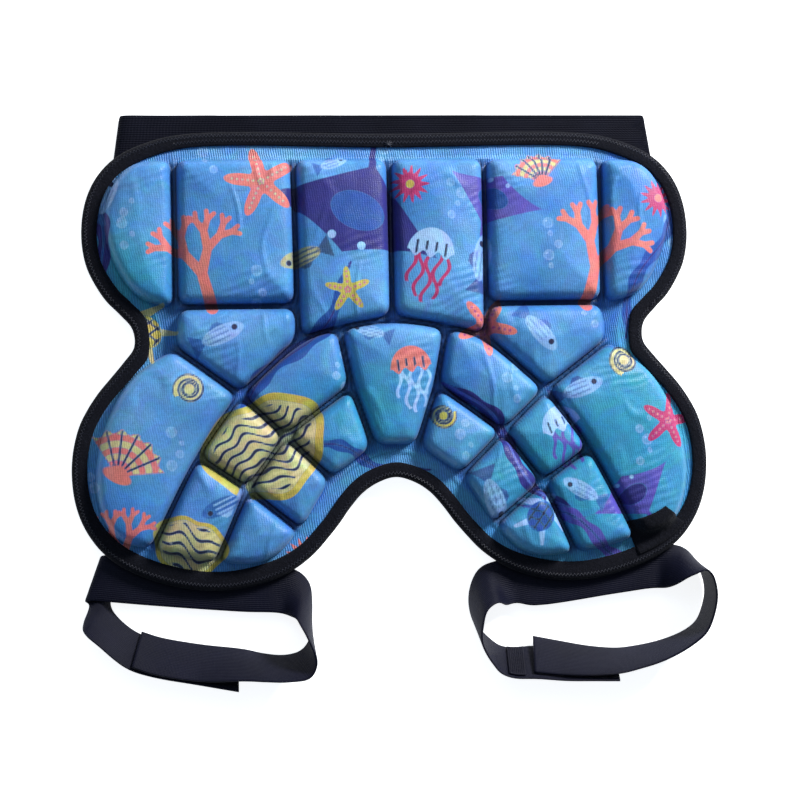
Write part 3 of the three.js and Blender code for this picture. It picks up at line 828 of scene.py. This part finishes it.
def closed_curve(points, steps):
    """A smooth closed curve through the points, with so many steps between each two."""
    before, after, later = (np.roll(points, -i, axis=0) for i in (-1, 1, 2))
    t = (np.arange(steps) / steps)[None, :, None]
    a, b, c, d = (p[:, None, :] for p in (before, points, after, later))
    square, cube = 2 * a - 5 * b + 4 * c - d, 3 * b - a - 3 * c + d
    curve = 0.5 * (2 * b + (c - a) * t + square * t ** 2 + cube * t ** 3)
    return curve.reshape(-1, points.shape[1])


# The tape's section: shares of its width from the outer edge, and shares of its height from the back.
BINDING_SECTION = [(1.0, 0.62), (1.005, 0.93), (0.97, 1.02), (0.86, 1.08), (0.66, 1.12),
                   (0.42, 1.12), (0.2, 1.04), (0.06, 0.86), (0.0, 0.55), (0.05, 0.2),
                   (0.18, 0.04), (0.4, 0.0), (0.8, 0.0), (1.0, 0.02), (1.0, 0.3)]


def edge_loops():
    """The binding's outer and inner edges as matched, evenly stepped loops."""
    outer, inner = by_length(outlines("edge_binding", levels("edge_binding")[-1]))
    inner = matched(inner, outer)
    return closed_curve(outer, SECTIONS_PER_CORNER), closed_curve(inner, SECTIONS_PER_CORNER)


def edge_binding(material, outer, inner):
    """Stretch tape folded over the pad's edge, a little gathered where the edge turns in."""
    back, top = levels("edge_binding")[0], levels("edge_binding")[-1]
    steps = len(outer)
    from_turn = np.hypot(np.abs(outer[:, 0]) - WAIST_TURN[0], outer[:, 1] - WAIST_TURN[1])
    gather = smooth((GATHER_REACH - from_turn) / GATHER_BLEND)
    waver = noise_at(outer, 11 * MM) * (0.25 + 1.1 * gather) * MM
    pinch = np.sin(np.arange(steps) * 2.1) * gather * 0.35 * MM
    rings = []
    for share, level in BINDING_SECTION:
        place = outer + (inner - outer) * share
        lift = (waver + pinch) * (level > 0.5) * math.sin(math.pi * min(1, 1.1 - 0.9 * abs(share - 0.5)))
        rings.append(np.column_stack([place, back + (top - back) * level + 0.5 * lift]))
    verts = np.stack(rings, 1).reshape(-1, 3)
    faces = tube_faces(steps, len(BINDING_SECTION), looped=True)
    obj = new_object("binding_tape", verts, faces)
    facing_out(obj)
    return finish_piece(obj, "binding", material, "edge_binding"), verts, faces


def facing_out(obj):
    """Turns a closed mesh's faces outwards."""
    mesh = bmesh.new()
    mesh.from_mesh(obj.data)
    bmesh.ops.recalc_face_normals(mesh, faces=mesh.faces)
    mesh.to_mesh(obj.data)
    mesh.free()


# Waistband, leg straps and hook patch: flat tapes through rings of four corners


def strap_rings(node):
    """The rings of four corners that a strap's mesh is made of, in order from one end to the other."""
    mesh = merged(node)

    def around(vert):
        return {edge.other_vert(vert) for edge in vert.link_edges}

    def is_hub(vert):
        beside = around(vert)
        return len(beside) == 4 and (sum((v.co for v in beside), Vector()) / 4 - vert.co).length < 1e-5

    hub = next(vert for vert in mesh.verts if is_hub(vert))
    seen = {hub}

    def in_cycle(corners):
        # Sorted, because a set of corners comes in another order at each run.
        waiting = sorted(corners, key=lambda vert: vert.index)
        ring = [waiting.pop(0)]
        while waiting:
            ring.append(next(vert for vert in waiting if vert in around(ring[-1])))
            waiting.remove(ring[-1])
        return ring

    first = in_cycle(around(hub))
    if (first[0].co - first[1].co).length < (first[1].co - first[2].co).length:
        first = first[1:] + first[:1]
    rings = [first]

    def from_last(ring):
        return sum((a.co - b.co).length for a, b in zip(rings[-1], ring))

    while True:
        seen.update(rings[-1])
        ahead = {v for corner in rings[-1] for v in around(corner)} - seen
        if len(ahead) < 4:
            break
        cycle = in_cycle(ahead)
        turns = [cycle[i:] + cycle[:i] for i in range(4)]
        turns += [turn[::-1] for turn in turns]
        rings.append(min(turns, key=from_last))
    corners = np.array([[v.co for v in ring] for ring in rings])
    mesh.free()
    return corners


def waistband_rings():
    """Rings of four corners round the waistband's flattened loop."""
    low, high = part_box("waistband")
    lines = []
    for level in (high[1], low[1]):
        for loop in by_length(outlines("waistband", level, axis=1)):
            start = np.argmax(loop @ (1, 1))
            loop = np.roll(loop, -start, axis=0)
            lines.append(np.column_stack([loop[:, 0], np.full(len(loop), level), loop[:, 1]]))
    outer_top, inner_top, outer_low, inner_low = lines
    return np.stack([outer_top, outer_low, inner_low, inner_top], 1)


def resampled(rings, step, looped=False, passes=2):
    """The rings at an even spacing, with their corners softened along the tape."""
    if looped:
        rings = np.concatenate([rings, rings[:1]])
    middles = rings.mean(1)
    run = np.concatenate([[0], np.cumsum(np.linalg.norm(np.diff(middles, axis=0), axis=1))])
    count = int(run[-1] / step)
    places = np.linspace(0, run[-1], count + 1)
    flat = rings.reshape(len(rings), -1)
    even = np.stack([np.interp(places, run, column) for column in flat.T], 1).reshape(-1, 4, 3)
    if looped:
        even = even[:-1]
    for _ in range(passes):
        before, after = np.roll(even, 1, axis=0), np.roll(even, -1, axis=0)
        softer = 0.25 * before + 0.5 * even + 0.25 * after
        even = softer if looped else np.concatenate([even[:1], softer[1:-1], even[-1:]])
    return even


# A tape's section: shares of its width, and of its half thickness.
TAPE_SECTION = [(0.0, 0.45), (0.018, 0.85), (0.05, 1.0), (0.2, 0.96), (0.35, 1.0), (0.5, 0.96),
                (0.65, 1.0), (0.8, 0.96), (0.95, 1.0), (0.982, 0.85), (1.0, 0.45)]


def tape(name, rings, looped=False):
    """A woven tape with soft edges. Its UVs are metres along it and across it."""
    a, b, c, d = (rings[:, i] for i in range(4))
    sides = []
    for side, section in ((1, TAPE_SECTION), (-1, TAPE_SECTION[::-1])):
        for share, level in section:
            upper = d + (c - d) * share
            lower = a + (b - a) * share
            sides.append((share, (upper + lower) / 2 + side * (upper - lower) / 2 * level))
    count, steps = len(sides), len(rings)
    verts = np.stack([side for _, side in sides], 1).reshape(-1, 3)
    faces, uvs = tube_faces(steps, count, looped), []
    middles = rings.mean(1)
    stride = np.linalg.norm(np.roll(middles, -1, axis=0) - middles, axis=1)
    run = np.concatenate([[0], np.cumsum(stride)])
    width = np.linalg.norm(b[0] - a[0])
    for i in range(steps if looped else steps - 1):
        for k in range(count):
            after = (k + 1) % count
            for station, side in ((i, k), (i, after), (i + 1, after), (i + 1, k)):
                uvs.append((run[station], sides[side][0] * width))
    if not looped:
        faces.append(tuple(range(count))[::-1])
        uvs += [(0, sides[k][0] * width) for k in reversed(range(count))]
        faces.append(tuple((steps - 1) * count + k for k in range(count)))
        uvs += [(run[steps - 1], sides[k][0] * width) for k in range(count)]
    obj = new_object(name, verts, faces)
    layer = obj.data.uv_layers.new(name="along_and_across")
    layer.data.foreach_set("uv", np.array(uvs, np.float32).ravel())
    facing_out(obj)
    return obj


def hook(root, normal, side, start):
    """One hook: a four-sided stem from its root up, bent to the side. Its corners count from start."""
    verts, faces = [], []
    for rise, lean, radius in HOOK_LEVELS:
        middle = root + rise * MM * normal + lean * MM * side
        for k in range(4):
            turn = math.pi * k / 2
            flat = math.cos(turn) * side + math.sin(turn) * normal.cross(side)
            verts.append(middle + radius * MM * flat)
    for level in (0, 4):
        for k in range(4):
            a, b = start + level + k, start + level + (k + 1) % 4
            faces.append((a, b, b + 4, a + 4))
    faces.append(tuple(range(start + 8, start + 12)))
    return verts, faces


def hook_patch(material):
    """The leg strap's hook tape: a stiff backing with rows of small hooks."""
    rings = resampled(strap_rings("hook_patch"), HOOK_STEP)
    patch = tape("hook_tape_piece", rings)
    verts, faces = [], []
    for ring in rings[1:-1]:
        normal = Vector(np.cross(ring[2] - ring[3], rings[-1][3] - rings[0][3])).normalized()
        if normal.z < 0:
            normal = -normal
        start, end = ring[3], ring[2]
        if normal.dot(ring[0] - ring[3]) > 0:
            start, end = ring[0], ring[1]
        for share in np.linspace(0.06, 0.94, HOOKS_A_ROW):
            root = Vector(start + (end - start) * share)
            more_verts, more_faces = hook(root, normal, Vector(end - start).normalized(), len(verts))
            verts += more_verts
            faces += more_faces
    finish_piece(new_object("hook_rows", verts, faces), "hook_tape", material)
    return finish_piece(patch, "hook_tape", material, "hook_patch")


# Stitching


def thread_tube(routes, name, material):
    """Thread laid along routes, as one mesh of thin tubes."""
    verts, faces = [], []
    sides = 5
    for route in routes:
        start = len(verts)
        for i, place in enumerate(route):
            along = Vector(route[min(i + 1, len(route) - 1)] - route[max(i - 1, 0)]).normalized()
            across = along.orthogonal().normalized()
            up = along.cross(across)
            for k in range(sides):
                turn = 2 * math.pi * k / sides
                verts.append(Vector(place) + THREAD_RADIUS * (math.cos(turn) * across + math.sin(turn) * up))
        faces += [[start + k for k in face] for face in tube_faces(len(route), sides)]
        faces.append(tuple(range(start, start + sides))[::-1])
        faces.append(tuple(range(len(verts) - sides, len(verts))))
    obj = new_object(name, verts, faces)
    return finish_piece(obj, "binding", material)


def surface_of(*meshes):
    """What things are laid on: the corners and faces of one mesh or more."""
    corners, faces = [], []
    for verts, polygons in meshes:
        start = len(corners)
        corners += verts.tolist()
        faces += [[k + start for k in polygon] for polygon in polygons]
    return BVHTree.FromPolygons(corners, faces)


def zigzag(path, surface):
    """Zigzag stitches along a path of x and y, laid on a surface."""
    run = np.concatenate([[0], np.cumsum(np.hypot(*np.diff(path, axis=0).T))])
    places = np.arange(0, run[-1], STITCH_PITCH / 2)
    middle = np.stack([np.interp(places, run, path[:, i]) for i in (0, 1)], 1)
    along = np.gradient(middle, axis=0)
    across = np.stack([-along[:, 1], along[:, 0]], 1) / np.hypot(*along.T)[:, None]
    side = np.where(np.arange(len(places)) % 2, 1, -1)[:, None]
    return laid(middle + 0.5 * STITCH_SWING * side * across, surface)


def laid(points, surface, lift=0.1 * MM):
    """Points of x and y set down on a surface from above."""
    placed = []
    for x, y in points:
        hit = surface.ray_cast(Vector((x, y, 0.1)), Vector((0, 0, -1)))[0]
        if hit:
            placed.append(np.array(hit) + (0, 0, lift))
    return np.array(placed)


def stitching(material, outer, inner, binding_surface):
    """A zigzag row all round the binding, a second one along the top edge, and a bar tack at its middle."""
    whole = outer + (inner - outer) * 0.3
    routes = [zigzag(np.concatenate([whole, whole[:1]]), binding_surface)]
    second = outer + (inner - outer) * 0.66
    row = second[(second[:, 1] > TOP_ROW["above"]) & (np.abs(second[:, 0]) < TOP_ROW["half_length"])]
    row = row[np.argsort(row[:, 0])]
    routes.append(zigzag(row, binding_surface))
    tack = row[np.argmin(np.abs(row[:, 0]))] - (0, 1.6 * MM)
    for k in range(5):
        turn = math.pi * k / 5
        reach = 2.6 * MM * np.array([math.cos(turn), math.sin(turn)])
        routes.append(laid([tack - reach, tack, tack + reach], binding_surface, 0.3 * MM + 0.1 * k * MM))
    return thread_tube(routes, "stitching", material)


def binding_tail(material, outer, inner, surface):
    """The binding's free end, laid over the cover at the foot of one lobe."""
    ends = [np.argmin(np.hypot(*(outer - np.array(end)).T)) for end in TAIL_ENDS]
    stations = np.linspace(min(ends), max(ends), 30)
    reaches = np.linspace(0.55, TAIL_REACH, 12)
    top = []
    for i, station in enumerate(stations):
        slant = 1 - 0.12 * i / len(stations)
        edge_place, inner_place = (
            np.array([np.interp(station, range(len(loop)), loop[:, k]) for k in (0, 1)])
            for loop in (outer, inner))
        for share in reaches:
            place = edge_place + (inner_place - edge_place) * share * slant
            top.append(laid([place], surface, 1.1 * MM)[0])
    top = np.array(top)
    rows, columns = len(stations), len(reaches)
    for _ in range(3):
        sheet = top.reshape(rows, columns, 3)
        softer = sheet.copy()
        around = sheet[:-2, 1:-1] + sheet[2:, 1:-1] + sheet[1:-1, :-2] + sheet[1:-1, 2:]
        softer[1:-1, 1:-1] = 0.25 * around
        softer[..., 2] = np.maximum(softer[..., 2], sheet[..., 2])
        top = softer.reshape(-1, 3)
    below = top - (0, 0, TAIL_THICKNESS)
    verts = np.concatenate([top, below])
    faces = []
    for i in range(rows - 1):
        for j in range(columns - 1):
            a = i * columns + j
            quad = (a, a + 1, a + 1 + columns, a + columns)
            faces.append(quad)
            faces.append(tuple(k + len(top) for k in reversed(quad)))
    rim = list(range(columns)) + [i * columns + columns - 1 for i in range(1, rows)]
    rim += [(rows - 1) * columns + j for j in range(columns - 2, -1, -1)]
    rim += [i * columns for i in range(rows - 2, 0, -1)]
    for a, b in zip(rim, rim[1:] + rim[:1]):
        faces.append((a, b, b + len(top), a + len(top)))
    obj = new_object("binding_tail", verts, faces)
    facing_out(obj)
    return finish_piece(obj, "binding", material)


# The studio


def camera():
    """The photograph's view."""
    forward = Vector((VIEW_LEAN[0], VIEW_LEAN[1], -1)).normalized()
    right = forward.cross(Vector((0, 1, 0))).normalized()
    up = right.cross(forward)
    turn = Matrix.Rotation(-VIEW_ROLL, 3, forward)
    axes = Matrix((turn @ right, turn @ up, -forward)).transposed()
    data = bpy.data.cameras.new("camera")
    data.lens = VIEW_LENS
    data.sensor_width = SENSOR_WIDTH
    obj = bpy.data.objects.new("camera", data)
    obj.matrix_world = Matrix.Translation(VIEW_PLACE) @ axes.to_4x4()
    bpy.context.collection.objects.link(obj)
    bpy.context.scene.camera = obj


def area_light(name, place, size, power, colour=(1, 1, 1)):
    """A square light that faces the middle of the floor."""
    data = bpy.data.lights.new(name, "AREA")
    data.size = size
    data.energy = power
    data.color = colour
    obj = bpy.data.objects.new(name, data)
    obj.matrix_world = Vector(place).to_track_quat("Z", "Y").to_matrix().to_4x4()
    obj.location = place
    bpy.context.collection.objects.link(obj)


def studio():
    """A plain white floor, a soft key light from the upper right and a pale sky."""
    material, _, shader = new_material("floor")
    set_inputs(shader, Base_Color=(0.8, 0.8, 0.8, 1), Roughness=0.9)
    set_inputs(shader, Emission_Color=(1, 1, 1, 1), Emission_Strength=0.85)
    reach, level = 3.0, -0.5 * MM
    corners = [(-reach, -reach, level), (reach, -reach, level), (reach, reach, level), (-reach, reach, level)]
    floor = new_object("floor", corners, [(0, 1, 2, 3)])
    floor.data.materials.append(material)
    area_light("key", (1.0, 1.0, 0.85), 0.4, 52)
    area_light("fill", (-0.5, 0.9, 1.4), 0.9, 5, (0.8, 0.9, 1))
    world = bpy.data.worlds.new("studio")
    world.use_nodes = True
    sky = world.node_tree.nodes["Background"]
    sky.inputs["Color"].default_value = (0.62, 0.8, 1, 1)
    sky.inputs["Strength"].default_value = 0.28
    bpy.context.scene.world = world
    bpy.context.scene.view_settings.view_transform = "Standard"


camera()
studio()
fabric = printed_fabric()
tape_fabric = brushed_tape()
elastic = woven("elastic", (0.0024, 0.0026, 0.0062), 1.5 * MM, depth=0.12 * MM, gloss=0.08)
webbing = woven("webbing", (0.0022, 0.0024, 0.0085), 1.25 * MM, depth=0.07 * MM, roughness=0.55, gloss=0.1)
hook_fabric = woven("hook_tape", (0.004, 0.004, 0.009), 1.1 * MM, roughness=0.6)
thread = plain_thread()

_, cover_verts, cover_faces = printed_cover(fabric)
outer_edge, inner_edge = edge_loops()
_, binding_verts, binding_faces = edge_binding(tape_fabric, outer_edge, inner_edge)
binding_surface = surface_of((binding_verts, binding_faces))
cover_surface = surface_of((cover_verts, cover_faces), (binding_verts, binding_faces))
binding_tail(tape_fabric, outer_edge, inner_edge, cover_surface)
stitching(thread, outer_edge, inner_edge, binding_surface)
band_rings = resampled(waistband_rings(), TAPE_STEP, looped=True, passes=3)
band_rings[..., 1] += 0.5 * MM * noise_at(band_rings[:, 0, ::2], 30 * MM, 17.0)[:, None]
band = tape("waistband_loop", band_rings, looped=True)
finish_piece(band, "elastic", elastic, "waistband")
for side in ("left", "right"):
    strap = tape(f"leg_webbing_{side}", resampled(strap_rings(f"leg_strap_{side}"), TAPE_STEP))
    finish_piece(strap, "elastic", webbing, f"leg_strap_{side}")
hook_patch(hook_fabric)
